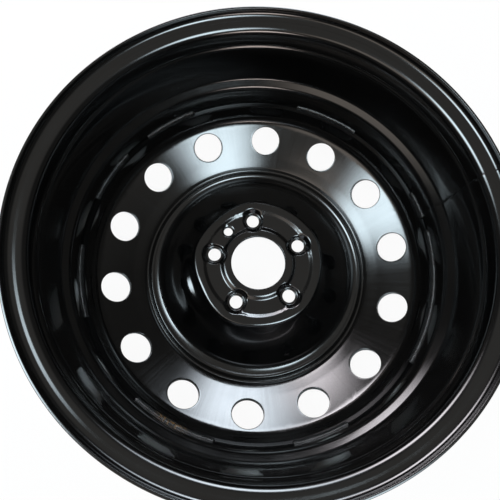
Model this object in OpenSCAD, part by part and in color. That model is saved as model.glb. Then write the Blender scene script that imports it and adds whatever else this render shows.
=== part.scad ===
// Pressed steel road wheel: a rolled rim, a stamped disc pressed into its well,
// and the weld runs that join them. It lies on its outboard lip, with the hub
// side up. The origin is on the axis, at the plane of the outboard lip.

/* [Rim] */
// Width between the two flange faces that hold the tyre
rim_width = 177.8; // [150:0.1:215]
// Diameter of the bead seats at the flanges
bead_d = 436.6; // [425:0.1:462]
// Height of each flange above the bead seat
flange_height = 17.3; // [16:0.1:20]
// Reach of each rolled lip beyond its flange face
lip_reach = 12; // [10:0.5:15]
// Radius of the rolled lip on the tyre side
lip_bend_r = 9.5; // [7:0.5:9.5]
// Radius between the flange and the bead seat
heel_r = 6.5; // [4:0.5:8]
// Width of each bead seat
seat_width = 17.5; // [15:0.5:20]
// Taper of each bead seat
seat_taper = 5; // [3:0.5:7]
// Width of the safety hump behind each bead seat
hump_width = 8; // [6:0.5:10]
// Height of the safety hump above the bead seat
hump_height = 1.2; // [0.6:0.1:1.8]
// Radius of the bends of the safety hump
hump_bend_r = 3; // [1:0.5:3]
// Thickness of the rim sheet
rim_gauge = 2.7; // [2:0.1:3.5]
// Depth of the well below the bead seats, on the tyre side
well_drop = 13; // [11:0.1:18]
// Distance from the inboard lip to the foot of the ramp into the well
well_from_lip = 94.7; // [85:0.1:105]
// Length of the ramp from the inboard barrel into the well
ramp_length = 8.4; // [7:0.1:20]
// Fall in radius along the inboard barrel
barrel_fall = 1.8; // [0.5:0.1:3]
// Radius of the bends at the inboard ramp
ramp_bend_r = 11; // [5:0.5:12]
// Length of the outboard ramp, measured along the axis
outer_ramp = 9.5; // [8:0.5:12]
// Radius of the bends at the outboard ramp
outer_bend_r = 4.5; // [4:0.5:6]
// Diameter of the valve hole in the outboard ramp
valve_d = 11.3; // [8:0.1:12.5]
// Angle of the valve hole round the axis
valve_angle = 195; // [0:1:360]

/* [Disc] */
// Thickness of the disc sheet
disc_gauge = 4.2; // [3:0.1:5]
// Distance of the hub face outboard of the wheel's middle plane
wheel_offset = 45; // [35:0.5:52]
// Diameter of the hub pad
pad_d = 151.6; // [146:0.1:160]
// Radius of the bend at the edge of the hub pad
pad_bend_r = 4.6; // [4.5:0.1:7]
// Diameter at which the bowl ends
bowl_d = 248; // [240:1:252]
// Depth of the bowl's end below the hub face
bowl_depth = 40.6; // [36:0.1:42]
// Radius of the bend at the bowl's end
bowl_bend_r = 6; // [5:0.5:8]
// Width of the shelf between the bowl's end and the pressed groove
shelf_width = 9; // [7:0.5:12]
// Drop across the shelf
shelf_drop = 0.9; // [0.5:0.1:2]
// Width of the groove between the shelf and the ridge where the vent face starts
groove_width = 10; // [9:0.5:13]
// Depth of the groove below the shelf
groove_depth = 5; // [4:0.1:6]
// Radius of the bend at the bottom of the groove
groove_bend_r = 2.5; // [1.5:0.5:3]
// Radius of the bends at the two shoulders of the groove
shoulder_bend_r = 5; // [4:0.5:6]
// Rise from the shelf's edge to the ridge
ridge_rise = 1.1; // [0.5:0.1:3]
// Slope of the vent face
vent_slope = 32; // [28:0.5:36]
// Radius of the bend between the vent face and the skirt
skirt_bend_r = 18; // [14:0.5:20]
// Height of the skirt's free edge above the hub face
skirt_rise = 23.4; // [20:0.1:32]
// Fall of the sheared end of the skirt from its outside to its inside
skirt_bevel = 3; // [1:0.1:4]
// Width of the flat left along the outside of the skirt's end
skirt_flat = 0.5; // [0.3:0.1:1]

/* [Hub] */
// Diameter of the hub bore
bore_d = 65.1; // [54:0.1:74]
// Chamfer on the inboard edge of the hub bore
bore_chamfer = 0.8; // [0.4:0.1:1.5]
// Number of lug holes
lug_count = 5; // [4:1:5]
// Pitch circle diameter of the lug holes
lug_pcd = 108; // [105:0.1:112]
// Diameter of each lug hole
lug_d = 15.2; // [13:0.1:16]
// Angle of the first lug hole round the axis
lug_angle = 96.4; // [0:0.1:360]
// Diameter of the cup pressed round each lug hole, at the hub face
lug_cup_d = 31; // [26:0.5:32]
// Diameter of the floor of each lug cup
lug_floor_d = 20.5; // [18:0.5:22]
// Depth of each lug cup below the hub face
lug_cup_depth = 5.7; // [4:0.1:7]
// Half angle of the conical lug nut seat
seat_half_angle = 30; // [30:5:45]
// Diameter of the lug nut seat at its mouth
lug_seat_d = 19; // [17.5:0.1:20]
// Width of the flat ring between the hub bore and the relief channel
bore_land = 12.7; // [10:0.1:15]
// Width of the flat ring between the relief channel and the edge of the hub pad
pad_land = 12; // [10:0.1:15]
// Depth of the relief channel through the lug holes, and run of its sloped walls
channel_depth = 3; // [1.5:0.1:3.5]
// Radius of the bends of the relief channel
channel_bend_r = 1.2; // [0.6:0.1:1.4]
// Diameter of the locating pin hole
pin_d = 11; // [8:0.1:12]
// Diameter of the dimple round the locating pin hole, at the hub face
pin_dimple_d = 20; // [17:0.5:21]
// Diameter of the floor of the pin dimple
pin_floor_d = 13; // [12.5:0.5:15]
// Depth of the pin dimple below the hub face
pin_dimple_depth = 3.9; // [3.5:0.1:5]
// Angle of the locating pin hole from the first lug hole
pin_angle = 36; // [34:0.5:38]

/* [Vents] */
// Number of round vents
vent_count = 14; // [10:1:16]
// Diameter of each vent
vent_d = 37; // [28:0.5:37]
// Distance from the inside of the skirt to the circle of vent centres
vent_inset = 24.7; // [23:0.1:27]
// Angle of the first vent round the axis
vent_angle = 111.5; // [0:0.1:360]

/* [Welds] */
// Leg of each weld run up the wall of the well
weld_leg = 5.2; // [3:0.1:6]

/* [Hidden] */
$fn = 180;
// Number of straight steps in each bend
bend_steps = 6;
// Smallest bend radius left on the far side of a tight bend
least_bend_r = 0.8;
// Overlap that lets each cutting tool pass clean through a face
cut_over = 1;
paint = "#1c1d1f";
weld_paint = "#26272a";

overall_h = rim_width + 2 * lip_reach;
bead_r = bead_d / 2;
lip_r = bead_r + flange_height;
well_r = bead_r - well_drop - rim_gauge;
seat_fall = seat_width * tan(seat_taper);
hump_r = bead_r - seat_fall + hump_height;
barrel_r = bead_r - (seat_width + hump_width) * tan(seat_taper);
ramp_foot_r = bead_r - well_drop;
ramp_foot_z = overall_h - well_from_lip;
inner_face_z = overall_h - lip_reach;
outer_seat_end = lip_reach + seat_width + hump_width;

hub_z = overall_h / 2 - wheel_offset;
bore_r = bore_d / 2;
pad_r = pad_d / 2;
lug_r = lug_pcd / 2;
skirt_in_r = well_r - disc_gauge;
skirt_top = hub_z + skirt_rise;
channel_z = hub_z - channel_depth;
channel_in_r = bore_r + bore_land;
channel_out_r = pad_r - pad_land;
bowl_r = bowl_d / 2;
bowl_z = hub_z - bowl_depth;
shelf_r = bowl_r + shelf_width;
shelf_z = bowl_z - shelf_drop;
groove_r = shelf_r + groove_width / 2;
groove_z = shelf_z - groove_depth;
ridge_r = shelf_r + groove_width;
ridge_z = shelf_z + ridge_rise;
face_end_z = ridge_z + (skirt_in_r - ridge_r) * tan(vent_slope);
vent_r = skirt_in_r - vent_inset;
vent_z = ridge_z + (vent_r - ridge_r) * tan(vent_slope);

// Weld runs round the skirt's free edge, as start angle and span
weld_runs = [[-36, 46], [279, 18], [229, 27], [176, 24], [141, 19], [113, 19], [53, 23], [14, 10]];

function unit(v) = v / norm(v);
function right_of(v) = [v.y, -v.x];
function turned(v, a) = [v.x * cos(a) - v.y * sin(a), v.x * sin(a) + v.y * cos(a)];
function place(corner) = [corner.x, corner.y];

// Angle by which a line turns at b, positive to the left
function turn_at(a, b, c) =
    let (u = unit(b - a), v = unit(c - b))
    atan2(u.x * v.y - u.y * v.x, u * v);

// Points of the round bend that replaces the corner b
function bend_points(a, b, c, r) =
    let (
        u = unit(b - a),
        turn = turn_at(a, b, c),
        start = b - u * r * tan(abs(turn) / 2),
        centre = start - sign(turn) * r * right_of(u)
    )
    [for (k = [0 : bend_steps]) centre + turned(start - centre, turn * k / bend_steps)];

// The line through a list of corners [radius, height, bend], with its bends
function rounded(line) =
    let (last = len(line) - 1)
    [
        for (i = [0 : last])
            each i == 0 || i == last
                ? [place(line[i])]
                : bend_points(place(line[i - 1]), place(line[i]), place(line[i + 1]), line[i].z)
    ];

// The other face of the sheet: the same corners moved to the right by its gauge
function far_corner(line, i, gauge) =
    let (
        last = len(line) - 1,
        here = place(line[i]),
        u = unit(i == 0 ? place(line[1]) - here : here - place(line[i - 1])),
        v = unit(i == last ? here - place(line[last - 1]) : place(line[i + 1]) - here),
        moved = here + gauge * (right_of(u) + right_of(v)) / (1 + u * v),
        left_turn = u.x * v.y - u.y * v.x > 0,
        r = left_turn ? line[i].z + gauge : max(line[i].z - gauge, least_bend_r)
    )
    [moved.x, moved.y, r];

function reversed(list) = [for (i = [len(list) - 1 : -1 : 0]) list[i]];

// Closed outline of a bent sheet of one gauge
function sheet(line, gauge) =
    let (far = [for (i = [0 : len(line) - 1]) far_corner(line, i, gauge)])
    concat(rounded(line), reversed(rounded(far)));

// Tyre side of the rim, from the inboard lip down to the outboard lip
rim_line = [
    [lip_r, overall_h, 0],
    [lip_r, inner_face_z, lip_bend_r],
    [bead_r, inner_face_z, heel_r],
    [bead_r - seat_fall, inner_face_z - seat_width, hump_bend_r],
    [hump_r, inner_face_z - seat_width - hump_width / 2, hump_bend_r],
    [barrel_r, inner_face_z - seat_width - hump_width, hump_bend_r],
    [barrel_r - barrel_fall, ramp_foot_z + ramp_length, ramp_bend_r],
    [ramp_foot_r, ramp_foot_z, ramp_bend_r],
    [ramp_foot_r, outer_seat_end + outer_ramp, outer_bend_r],
    [barrel_r, outer_seat_end, outer_bend_r],
    [hump_r, outer_seat_end - hump_width / 2, hump_bend_r],
    [bead_r - seat_fall, lip_reach + seat_width, hump_bend_r],
    [bead_r, lip_reach, heel_r],
    [lip_r, lip_reach, lip_bend_r],
    [lip_r, 0, 0]
];

// Inboard face of the disc, from inside the bore out to the skirt's free edge
disc_line = [
    [bore_r - cut_over, hub_z, 0],
    [channel_in_r - channel_depth / 2, hub_z, channel_bend_r],
    [channel_in_r + channel_depth / 2, channel_z, channel_bend_r],
    [channel_out_r - channel_depth / 2, channel_z, channel_bend_r],
    [channel_out_r + channel_depth / 2, hub_z, channel_bend_r],
    [pad_r, hub_z, pad_bend_r],
    [bowl_r, bowl_z, bowl_bend_r],
    [shelf_r, shelf_z, shoulder_bend_r],
    [groove_r, groove_z, groove_bend_r],
    [ridge_r, ridge_z, shoulder_bend_r],
    [skirt_in_r, face_end_z, skirt_bend_r],
    [skirt_in_r, skirt_top, 0]
];

// Copies of the children at each of n places round the axis
module round_axis(n, first_angle) {
    for (i = [0 : n - 1])
        rotate([0, 0, first_angle + i * 360 / n])
            children();
}

// Rolled rim with its lips, bead seats, humps, well and valve hole
module rim() {
    ramp_r = (barrel_r + ramp_foot_r) / 2;
    ramp_z = outer_seat_end + outer_ramp / 2;
    ramp_tilt = atan2(outer_ramp, barrel_r - ramp_foot_r);
    color(paint)
        difference() {
            rotate_extrude() polygon(sheet(rim_line, rim_gauge));
            rotate([0, 0, valve_angle])
                translate([ramp_r, 0, ramp_z])
                    rotate([0, ramp_tilt, 0])
                        cylinder(d = valve_d, h = 8 * rim_gauge, center = true);
        }
}

// Raised back of a pressed cup, on the outboard face, ending inside the sheet
module cup_back(cup_d, floor_d, depth) {
    sunk = (disc_gauge - channel_depth) / 2;
    translate([lug_r, 0, hub_z - depth - disc_gauge])
        cylinder(d1 = floor_d + disc_gauge, d2 = cup_d + disc_gauge, h = depth + sunk);
}

// Pressed cup and hole, as a cutting tool
module cup_and_hole(cup_d, floor_d, depth, hole_d) {
    widening = (cup_d - floor_d) / depth;
    translate([lug_r, 0, hub_z - depth]) {
        cylinder(d1 = floor_d, d2 = cup_d + widening * cut_over, h = depth + cut_over);
        cylinder(d = hole_d, h = 4 * disc_gauge, center = true);
    }
}

// Conical nut seat on the outboard face of a lug hole, as a cutting tool
module lug_seat() {
    run = 1 / tan(seat_half_angle);
    height = (lug_seat_d - lug_d) / 2 * run;
    mouth_z = hub_z - lug_cup_depth - disc_gauge;
    translate([lug_r, 0, mouth_z - cut_over])
        cylinder(d1 = lug_seat_d + 2 * cut_over / run, d2 = lug_d, h = height + cut_over);
}

// Vent, square to the vent face, as a cutting tool
module vent() {
    translate([vent_r, 0, vent_z])
        rotate([0, -vent_slope, 0])
            cylinder(d = vent_d, h = 4 * disc_gauge, center = true);
}

// Sheared end of the skirt, which falls towards the inside, as a cutting tool
module skirt_end() {
    spread = (disc_gauge - skirt_flat) / skirt_bevel;
    translate([0, 0, skirt_top - skirt_bevel - cut_over])
        cylinder(
            r1 = skirt_in_r - spread * cut_over,
            r2 = skirt_in_r + spread * (skirt_bevel + cut_over),
            h = skirt_bevel + 2 * cut_over
        );
}

// Stamped disc with its hub pad, bowl, vent face and skirt
module disc() {
    color(paint)
        difference() {
            union() {
                rotate_extrude() polygon(sheet(disc_line, disc_gauge));
                round_axis(lug_count, lug_angle) cup_back(lug_cup_d, lug_floor_d, lug_cup_depth);
                rotate([0, 0, lug_angle + pin_angle])
                    cup_back(pin_dimple_d, pin_floor_d, pin_dimple_depth);
            }
            translate([0, 0, hub_z]) cylinder(d = bore_d, h = 8 * disc_gauge, center = true);
            translate([0, 0, hub_z - bore_chamfer])
                cylinder(d1 = bore_d, d2 = bore_d + 2 * (bore_chamfer + cut_over), h = bore_chamfer + cut_over);
            round_axis(lug_count, lug_angle) {
                cup_and_hole(lug_cup_d, lug_floor_d, lug_cup_depth, lug_d);
                lug_seat();
            }
            rotate([0, 0, lug_angle + pin_angle])
                cup_and_hole(pin_dimple_d, pin_floor_d, pin_dimple_depth, pin_d);
            round_axis(vent_count, vent_angle) vent();
            skirt_end();
        }
}

// One weld run in the corner between the skirt's sheared end and the well
module weld(run) {
    flat_r = well_r - skirt_flat;
    toe_r = skirt_in_r + skirt_flat;
    toe_z = skirt_top - skirt_bevel * (flat_r - toe_r) / (flat_r - skirt_in_r);
    top_z = skirt_top + weld_leg;
    face = [for (a = [0 : 15 : 90]) [well_r - (well_r - toe_r) * cos(a), toe_z + (top_z - toe_z) * sin(a)]];
    color(weld_paint)
        rotate([0, 0, run[0]])
            rotate_extrude(angle = run[1])
                polygon(concat([[well_r, skirt_top], [flat_r, skirt_top]], face));
}

rim();
disc();
for (i = [0 : len(weld_runs) - 1])
    weld(weld_runs[i]);
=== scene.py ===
import math

import bpy
import numpy as np
from bpy.props import FloatProperty, FloatVectorProperty, PointerProperty
from bpy.types import Operator, Panel, PropertyGroup
from mathutils import Matrix, Vector


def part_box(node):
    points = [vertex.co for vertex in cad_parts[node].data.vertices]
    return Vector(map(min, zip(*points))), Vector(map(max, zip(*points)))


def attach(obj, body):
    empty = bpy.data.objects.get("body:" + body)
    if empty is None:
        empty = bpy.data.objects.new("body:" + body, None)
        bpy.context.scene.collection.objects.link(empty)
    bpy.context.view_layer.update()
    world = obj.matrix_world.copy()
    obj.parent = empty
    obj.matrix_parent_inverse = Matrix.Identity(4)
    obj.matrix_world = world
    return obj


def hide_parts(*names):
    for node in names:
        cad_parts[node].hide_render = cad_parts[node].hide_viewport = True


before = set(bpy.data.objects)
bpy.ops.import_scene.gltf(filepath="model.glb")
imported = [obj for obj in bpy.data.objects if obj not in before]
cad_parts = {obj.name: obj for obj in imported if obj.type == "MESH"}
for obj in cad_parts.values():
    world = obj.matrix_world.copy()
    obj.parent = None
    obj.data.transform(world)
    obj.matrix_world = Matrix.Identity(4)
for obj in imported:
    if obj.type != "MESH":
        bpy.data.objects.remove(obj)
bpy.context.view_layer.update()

bl_info = {
    "name": "Pressed Steel Wheel",
    "version": (1, 0, 0),
    "blender": (4, 5, 0),
    "location": "View3D > Sidebar > Wheel",
    "description": "Builds a black painted steel wheel with its weld beads, and a studio round it",
    "category": "Add Mesh",
}

MM = 0.001
BODY = "root"
RIM_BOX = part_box("rim")
DISC_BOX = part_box("disc")

LUGS = 5
VENTS = 14

# Columns of points round the rim, and round the disc, where each hole takes a whole number of them
RIM_COLUMNS = 400
DISC_COLUMNS = 350

# Bands of the disc that hold the lug holes and the vents: inner and outer radius
PAD_BAND = (36.5 * MM, 71.5 * MM)
VENT_BAND = (153.5 * MM, 192.5 * MM)
VENT_BACK_BAND = (156.5 * MM, 194.8 * MM)
VENT_RINGS = 17

# Loops of points round each hole of the disc, as shares of the way from the hole to its border
LUG_LOOPS = (0.86, 0.74, 0.64, 0.56, 0.49, 0.43, 0.37, 0.32, 0.26, 0.2, 0.14, 0.07, 0.0)
LUG_BACK_LOOPS = (0.8, 0.64, 0.5, 0.38, 0.26, 0.12, 0.0)
VENT_LOOPS = (0.8, 0.6, 0.42, 0.27, 0.14, 0.05, 0.0)
VENT_BACK_LOOPS = (0.6, 0.25, 0.0)

# Rounded edge of each hole: how far out and how far down, as shares of the edge's size
HOLE_EDGE = ((0.3, 0.12), (0.1, 0.35), (0.0, 0.8))

# Weld runs round the free edge of the skirt: start angle and span, in degrees
WELD_RUNS = ((-36, 46), (279, 18), (229, 27), (176, 24), (141, 19), (113, 19), (53, 23), (14, 10))

# Smallest bend radius left on the far side of a tight bend
LEAST_BEND = 0.8 * MM

# Width of the soft join between a pressed cup and the sheet round it
CUP_BLEND = 1.4 * MM

# Height of the floor, just under the lip that the wheel lies on
FLOOR_Z = -0.2 * MM

# Soft panels of light: name, angle round the wheel and height above the floor in degrees, width and
# height in metres, level, colour, and the share of the panel over which its light falls off
PANELS = (
    ("back_panel", 80, 29, (1.00, 0.90), 11.0, (0.82, 0.91, 1.0), 0.85),
    ("back_panel_warm", 108, 24, (1.10, 0.90), 10.0, (1.0, 0.95, 1.0), 0.85),
    ("left_panel", 187, 56, (1.00, 0.95), 11.5, (0.77, 0.92, 1.0), 0.85),
    ("front_panel", 299, 55, (1.00, 0.90), 11.5, (0.77, 0.92, 1.0), 0.85),
    ("front_low_panel", 276, 18, (1.00, 0.50), 7.5, (1.0, 0.86, 0.80), 0.8),
    ("front_glow", 228, 45, (2.40, 0.90), 0.9, (1.0, 0.88, 0.78), 0.7),
)


def length(name, text, default, low=0.0, high=1.0):
    """A size in metres that shows in the panel."""
    return FloatProperty(
        name=name, description=text, default=default, min=low, max=high,
        subtype="DISTANCE", unit="LENGTH", precision=5,
    )


def angle(name, text, degrees):
    """An angle that shows in the panel."""
    return FloatProperty(
        name=name, description=text, default=math.radians(degrees), subtype="ANGLE", unit="ROTATION",
    )


def share(name, text, default, high=1.0):
    """A plain share or level that shows in the panel."""
    return FloatProperty(name=name, description=text, default=default, min=0.0, max=high)


def tint(name, text, default):
    """A colour that shows in the panel."""
    return FloatVectorProperty(
        name=name, description=text, default=default, size=3, min=0.0, max=1.0, subtype="COLOR",
    )


class RimSizes(PropertyGroup):
    lip_radius: length(
        "Lip radius", "Outer radius of the two rolled lips", min(RIM_BOX[1].x, RIM_BOX[1].y))
    height: length("Height", "Distance between the edges of the two lips", RIM_BOX[1].z)
    lip_reach: length("Lip reach", "Reach of each lip beyond its flange face", 12 * MM)
    flange_height: length("Flange height", "Height of each flange above the bead seat", 17.3 * MM)
    gauge: length("Gauge", "Thickness of the rim sheet", 2.7 * MM)
    seat_width: length("Seat width", "Width of each bead seat", 17.5 * MM)
    seat_taper: angle("Seat taper", "Slope of each bead seat", 5)
    hump_width: length("Hump width", "Width of the safety hump behind each bead seat", 8 * MM)
    hump_height: length("Hump height", "Height of each safety hump above the bead seat", 1.2 * MM)
    hump_trim: length("Hump trim", "Width by which the inboard hump ends sooner", 1.5 * MM)
    barrel_fall: length("Barrel fall", "Fall of the barrel towards the ramp", 1.8 * MM)
    well_drop: length("Well drop", "Depth of the well below the bead seats", 13 * MM)
    well_from_lip: length(
        "Well from lip", "Distance from the inboard lip to the foot of the ramp", 94.7 * MM)
    ramp_length: length("Ramp length", "Length of the ramp into the well along the axis", 8.4 * MM)
    outer_ramp: length("Outboard ramp", "Length of the outboard ramp along the axis", 9.5 * MM)
    edge_radius: length("Edge radius", "Rounding of the cut edges of the sheet", 0.8 * MM)
    valve_radius: length("Valve radius", "Radius of the valve hole", 5.65 * MM)
    valve_angle: angle("Valve angle", "Place of the valve hole round the axis", 195)
    seam_angle: angle("Seam angle", "Place of the butt seam round the axis", 15)
    seam_step: length("Seam step", "Mismatch of the two ends at the butt seam", 0.25 * MM)


class DiscSizes(PropertyGroup):
    hub_height: length("Hub height", "Height of the hub face above the outboard lip", 55.9 * MM)
    gauge: length("Gauge", "Thickness of the disc sheet", 4.2 * MM)
    skirt_radius: length("Skirt radius", "Outer radius of the skirt", DISC_BOX[1].x)
    skirt_top: length("Skirt top", "Height of the free edge of the skirt", DISC_BOX[1].z)
    skirt_bevel: length("Skirt bevel", "Fall of the sheared end of the skirt towards the inside", 3 * MM)
    skirt_flat: length("Skirt flat", "Flat left along the outside of the end of the skirt", 0.5 * MM)
    bore_radius: length("Bore radius", "Radius of the hub bore", 32.55 * MM)
    bore_edge: length("Bore edge", "Chamfer of the hub bore", 0.8 * MM)
    pad_radius: length("Pad radius", "Radius of the hub pad", 75.8 * MM)
    pad_lobe: length("Pad lobe", "Bulge of the pad edge beside each lug hole", 1.4 * MM)
    pad_flat: length("Pad flat", "Most flattening of the pad edge between two lug holes", 2.5 * MM)
    lug_circle: length("Lug circle", "Radius of the circle of lug holes", 54 * MM)
    lug_radius: length("Lug radius", "Radius of each lug hole", 7.6 * MM)
    lug_seat: length("Lug seat", "Radius of the nut seat at the back of each lug hole", 9.5 * MM)
    lug_angle: angle("Lug angle", "Place of the first lug hole round the axis", 96.4)
    cup_radius: length("Cup radius", "Radius of the cup round each lug hole", 15.5 * MM)
    cup_floor: length("Cup floor", "Radius of the floor of each lug cup", 10.25 * MM)
    cup_depth: length("Cup depth", "Depth of each lug cup below the hub face", 5.7 * MM)
    pin_radius: length("Pin radius", "Radius of the locating pin hole", 5.5 * MM)
    pin_cup: length("Pin cup", "Radius of the cup round the locating pin hole", 10 * MM)
    pin_floor: length("Pin floor", "Radius of the floor of the pin cup", 6.5 * MM)
    pin_depth: length("Pin depth", "Depth of the pin cup below the hub face", 3.9 * MM)
    channel_depth: length("Channel depth", "Depth of the relief channel through the lug holes", 3 * MM)
    channel_run: length("Channel run", "Width of each sloping wall of the relief channel", 5 * MM)
    bowl_radius: length("Bowl radius", "Radius of the foot of the bowl", 121 * MM)
    bowl_depth: length("Bowl depth", "Depth of the foot of the bowl below the hub face", 41.6 * MM)
    crown_radius: length("Crown radius", "Radius of the low crown round the bowl", 134 * MM)
    crown_depth: length("Crown depth", "Depth of the crown below the hub face", 39.6 * MM)
    ridge_radius: length("Ridge radius", "Radius of the ridge at the start of the vent face", 143 * MM)
    ridge_depth: length("Ridge depth", "Depth of the ridge below the hub face", 40.4 * MM)
    shoulder: length("Shoulder", "Rise of the shallow shoulder on the bowl beside the pad", 4.5 * MM)
    shoulder_angle: angle("Shoulder angle", "Place of the shoulder round the axis", 195)
    vent_radius: length("Vent radius", "Radius of each vent", 18.5 * MM)
    vent_circle: length("Vent circle", "Radius of the circle of vent centres", 173.7 * MM)
    vent_slope: angle("Vent slope", "Slope of the vent face", 32)
    vent_angle: angle("Vent angle", "Place of the first vent round the axis", 111.5)


class WeldSizes(PropertyGroup):
    leg: length("Leg", "Leg of each bead up the wall of the well", 5.2 * MM)
    pitch: length("Ripple pitch", "Distance between two ripples", 2.1 * MM)
    ripple: length("Ripple height", "Height of each ripple", 0.7 * MM)


class PaintLooks(PropertyGroup):
    paint: tint("Paint", "Colour of the black dip coat", (0.0009, 0.0009, 0.0010))
    dust: tint("Dust", "Colour of the thin dust on the paint", (0.090, 0.084, 0.076))
    # Bare steel grey of the scuffed lip edges, also laid on as a painted highlight on the lip edge
    # towards 207 degrees
    bare_and_sheen: tint("Scuffed edge", "Colour of the scuffed lip edges", (0.26, 0.255, 0.25))
    crest: tint("Weld crest", "Colour of the thin paint on the crests of the welds", (0.02, 0.02, 0.02))
    burnt: tint("Burnt weld", "Colour of the heat marks on the welds", (0.30, 0.17, 0.06))
    roughness: share("Roughness", "Roughness of the paint under its gloss", 0.15)
    reflection: share("Reflection", "Strength of the reflection under the gloss", 0.65)
    gloss: share("Gloss", "Strength of the smooth top layer of the paint", 1.0)
    gloss_roughness: share("Gloss roughness", "Roughness of the smooth top layer", 0.05)
    peel: share("Orange peel", "Strength of the fine unevenness of the paint", 0.35)


class StageLooks(PropertyGroup):
    floor: tint("Floor", "Colour of the floor", (0.90, 0.90, 0.90))
    floor_glow: share("Floor white", "Share of plain white in the floor", 0.95)
    level: share("Light level", "Level of all the lamps", 1.0, 5.0)
    room: tint("Room", "Colour of the light from the room", (0.225, 0.218, 0.205))


class WheelSettings(PropertyGroup):
    rim: PointerProperty(type=RimSizes)
    disc: PointerProperty(type=DiscSizes)
    welds: PointerProperty(type=WeldSizes)
    looks: PointerProperty(type=PaintLooks)
    stage: PointerProperty(type=StageLooks)


# Lines of bent sheet

def unit(v):
    """The same direction at length 1."""
    return v / np.linalg.norm(v)


def right_of(v):
    """The direction a quarter turn to the right."""
    return np.array((v[1], -v[0]))


def bend(before, corner, after, radius, step):
    """Points of the round bend that replaces a corner."""
    u, v = unit(corner - before), unit(after - corner)
    turn = math.atan2(u[0] * v[1] - u[1] * v[0], float(u @ v))
    if radius <= 0 or abs(turn) < 1e-6:
        return [corner]
    start = corner - u * radius * math.tan(abs(turn) / 2)
    centre = start - math.copysign(radius, turn) * right_of(u)
    count = max(2, math.ceil(abs(math.degrees(turn)) / step))
    arm = start - centre
    points = []
    for k in range(count + 1):
        c, s = math.cos(turn * k / count), math.sin(turn * k / count)
        points.append(centre + np.array((arm[0] * c - arm[1] * s, arm[0] * s + arm[1] * c)))
    return points


def far_corners(line, gauge):
    """The corners of the other face of the sheet, which lies to the right of the line."""
    out = []
    last = len(line) - 1
    for i, (r, z, radius) in enumerate(line):
        here = np.array((r, z))
        u = unit(here - np.array(line[i - 1][:2])) if i else unit(np.array(line[1][:2]) - here)
        v = unit(np.array(line[i + 1][:2]) - here) if i < last else u
        moved = here + gauge * (right_of(u) + right_of(v)) / (1 + u @ v)
        left_turn = u[0] * v[1] - u[1] * v[0] > 0
        far_bend = radius + gauge if left_turn else max(radius - gauge, LEAST_BEND)
        out.append((moved[0], moved[1], far_bend))
    return out


def rounded(line, step=6.0, closed=False):
    """The points of a line of corners (radius, height, bend), with its bends."""
    points = []
    last = len(line) - 1
    for i, (r, z, radius) in enumerate(line):
        here = np.array((r, z))
        if not closed and i in (0, last):
            points.append(here)
            continue
        before = np.array(line[i - 1][:2])
        after = np.array(line[(i + 1) % len(line)][:2])
        points.extend(bend(before, here, after, radius, step))
    return points


def spread(points, longest, closed=False):
    """The same points with long straight steps divided."""
    out = []
    pairs = list(zip(points, points[1:] + points[:1])) if closed else list(zip(points, points[1:]))
    for a, b in pairs:
        count = max(1, math.ceil(np.linalg.norm(b - a) / longest))
        out.extend(a + (b - a) * k / count for k in range(count))
    return out if closed else out + [points[-1]]


def bump_shape(x, width):
    """A smooth hump of height 1 over x = 0."""
    return np.exp(-(x / width) ** 2)


def turn_from(angles, place):
    """Signed difference of angles from a place round the axis."""
    return (angles - place + math.pi) % (2 * math.pi) - math.pi


def wander(angles, seed, waves=9, lowest=1):
    """A smooth uneven value round the axis, between about -1 and 1."""
    draws = np.random.default_rng(seed)
    total = np.zeros_like(angles)
    for k in range(waves):
        count = lowest + int(draws.integers(1, 4)) + k * 2
        height = draws.uniform(0.4, 1.0) / (1 + 0.25 * k)
        total += height * np.sin(count * angles + draws.uniform(0, 2 * math.pi))
    return total / 2.2


# Meshes

def add_piece(name, points, faces, material, node):
    """A new piece that stands for a solid of the frame."""
    mesh = bpy.data.meshes.new(name)
    mesh.from_pydata(np.asarray(points).tolist(), [], faces)
    mesh.validate()
    mesh.update()
    mesh.polygons.foreach_set("use_smooth", np.ones(len(mesh.polygons), bool))
    mesh.materials.append(material)
    piece = bpy.data.objects.new(name, mesh)
    bpy.context.scene.collection.objects.link(piece)
    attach(piece, BODY)
    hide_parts(node)
    return piece


def rim_line(sizes):
    """Corners (radius, height, bend) of the tyre side of the rim, from the inboard lip down."""
    lip, top, reach = sizes.lip_radius, sizes.height, sizes.lip_reach
    seat, face = lip - sizes.flange_height, top - reach
    seat_width, hump_width = sizes.seat_width, sizes.hump_width
    taper = math.tan(sizes.seat_taper)
    seat_end = seat - seat_width * taper
    hump = seat_end + sizes.hump_height
    barrel = seat - (seat_width + hump_width) * taper
    foot, foot_z = seat - sizes.well_drop, top - sizes.well_from_lip
    outer_end = reach + seat_width + hump_width
    lip_bend, seat_bend, hump_bend, well_bend = 9.5 * MM, 6.5 * MM, 3 * MM, 4.5 * MM
    return [
        (lip, top, 0.0),
        (lip, face, lip_bend),
        (seat, face, seat_bend),
        (seat_end, face - seat_width, hump_bend),
        (hump, face - seat_width - hump_width / 2, 2 * MM),
        (barrel, face - seat_width - hump_width + sizes.hump_trim, 1.5 * MM),
        (barrel - sizes.barrel_fall, foot_z + sizes.ramp_length, 8 * MM),
        (foot, foot_z, 7 * MM),
        (foot, outer_end + sizes.outer_ramp, well_bend),
        (barrel, outer_end, well_bend),
        (hump, outer_end - hump_width / 2, hump_bend),
        (seat_end, reach + seat_width, hump_bend),
        (seat, reach, seat_bend),
        (lip, reach, lip_bend),
        (lip, 0.0, 0.0),
    ]


def rim_columns(sizes):
    """Angles of the columns round the rim, closer together at the butt seam."""
    even = np.linspace(0, math.tau, RIM_COLUMNS, endpoint=False)
    seam = sizes.seam_angle
    beside = np.radians((2.4, 1.9, 1.5, 1.1, 0.8, 0.55, 0.35, 0.2, 0.08, 0.02))
    extra = np.concatenate((seam - beside, seam + beside)) % math.tau
    kept = even[np.abs(turn_from(even, seam)) > math.radians(2.6)]
    return np.sort(np.concatenate((kept, extra)))


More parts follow.
